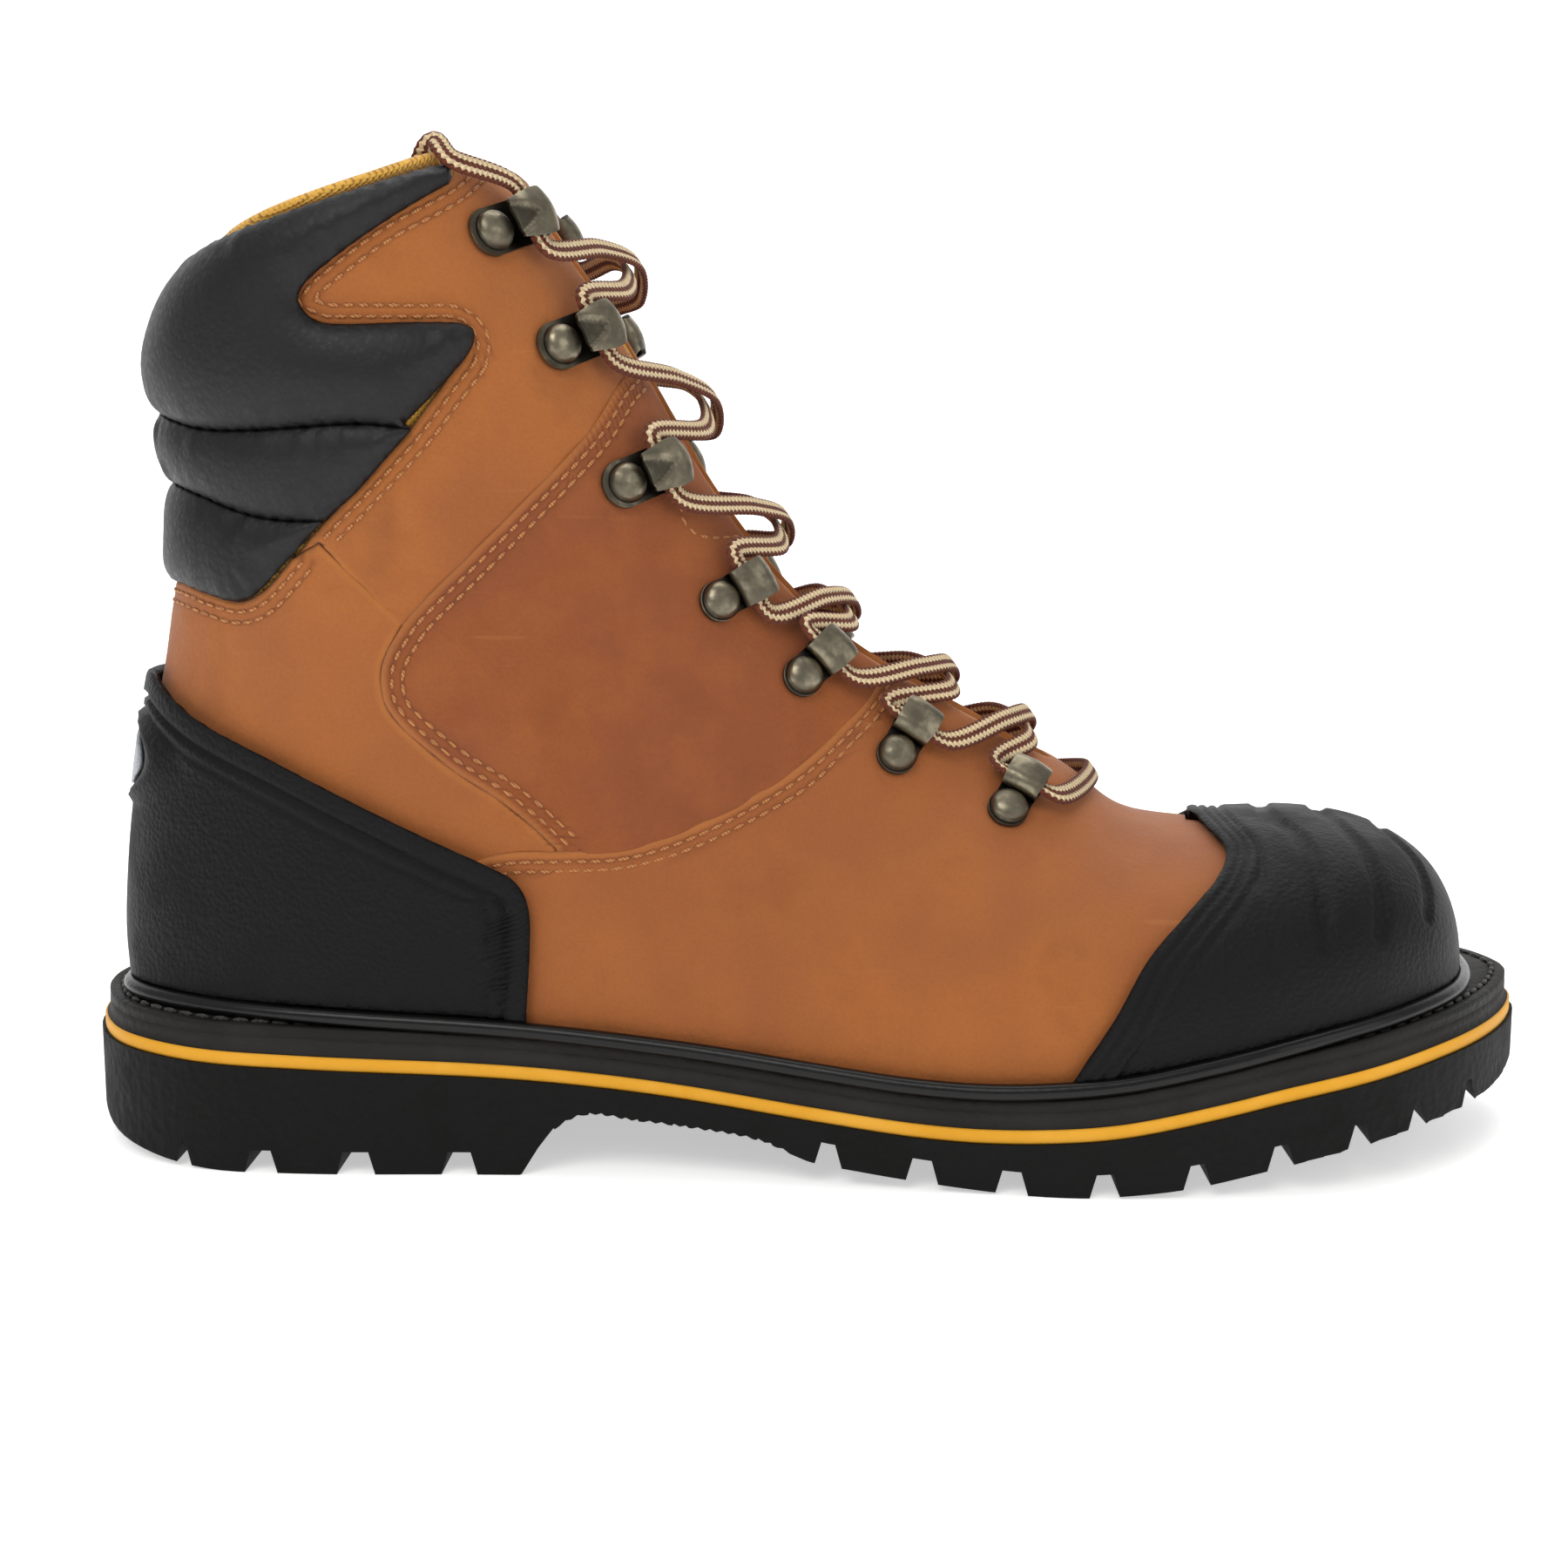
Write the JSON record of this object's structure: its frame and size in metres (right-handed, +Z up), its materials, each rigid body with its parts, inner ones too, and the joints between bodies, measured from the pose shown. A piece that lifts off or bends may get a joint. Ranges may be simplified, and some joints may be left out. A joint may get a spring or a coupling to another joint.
{
  "type": "steel toe work boot",
  "caption": "Eight-inch lace-up leather work boot with a steel toe, rubber toe and heel guards, padded collar, speed hooks and a lugged welted sole.",
  "frame": {"origin": "on the ground under the middle of the outsole", "axes": "+X to the toe, -Y the lateral (outer) side, +Z up; right foot"},
  "size_m": [0.3163, 0.1121, 0.2113],
  "materials": {
    "nubuck": "oiled nubuck, matte",
    "tongue_leather": "matte",
    "collar_leather": "soft sheen",
    "lining_mesh": "spacer mesh",
    "steel": "plain",
    "guard_rubber": "pebbled, matte",
    "welt_rubber": "satin",
    "midsole": "matte",
    "stripe": "satin",
    "tread_rubber": "matte",
    "reflective": "reflective",
    "lace": "woven",
    "thread": "waxed",
    "board": "pressed fibre",
    "antique_brass": "antiqued"
  },
  "bodies": {
    "boot": {"back_panel": "nubuck", "collar_binding": "lining_mesh", "collar_pad_lower": "collar_leather", "collar_pad_middle": "collar_leather", "collar_pad_upper": "collar_leather", "cork_filler": "board", "heel_badge": "reflective", "heel_guard": "guard_rubber", "heel_stiffener": "board", "hook_lateral_1": "antique_brass", "hook_lateral_2": "antique_brass", "hook_lateral_3": "antique_brass", "hook_medial_1": "antique_brass", "hook_medial_2": "antique_brass", "hook_medial_3": "antique_brass", "insole_board": "board", "lace": "lace", "lining": "lining_mesh", "loop_lateral_4": "antique_brass", "loop_lateral_5": "antique_brass", "loop_lateral_6": "antique_brass", "loop_lateral_7": "antique_brass", "loop_medial_4": "antique_brass", "loop_medial_5": "antique_brass", "loop_medial_6": "antique_brass", "loop_medial_7": "antique_brass", "mid_panel_lateral": "nubuck", "mid_panel_medial": "nubuck", "midsole": "midsole", "outsole": "tread_rubber", "rivet_lateral_1": "antique_brass", "rivet_lateral_2": "antique_brass", "rivet_lateral_3": "antique_brass", "rivet_lateral_4": "antique_brass", "rivet_lateral_5": "antique_brass", "rivet_lateral_6": "antique_brass", "rivet_lateral_7": "antique_brass", "rivet_medial_1": "antique_brass", "rivet_medial_2": "antique_brass", "rivet_medial_3": "antique_brass", "rivet_medial_4": "antique_brass", "rivet_medial_5": "antique_brass", "rivet_medial_6": "antique_brass", "rivet_medial_7": "antique_brass", "shaft_panel_lateral": "nubuck", "shaft_panel_medial": "nubuck", "sole_stripe": "stripe", "steel_shank": "steel", "steel_toe": "steel", "toe_guard": "guard_rubber", "vamp": "nubuck", "vamp_lining": "board", "welt": "welt_rubber", "welt_bead": "welt_rubber", "welt_thread": "thread"},
    "tongue": {"tongue": "tongue_leather"},
    "footbed": {"footbed": "lining_mesh"}
  },
  "joints": [
    {"name": "tongue_hinge", "type": "hinge", "parent": "boot", "child": "tongue", "pos_m": [0.053, 0, 0.072], "axis": [0, -1, 0], "range_deg": [0, 10], "stiffness_Nm_per_rad": 2, "springref_deg": -5.73},
    {"name": "footbed_lift", "type": "hinge", "parent": "boot", "child": "footbed", "pos_m": [0.133, 0, 0.035], "axis": [0, 1, 0], "range_deg": [0, 4]}
  ]
}
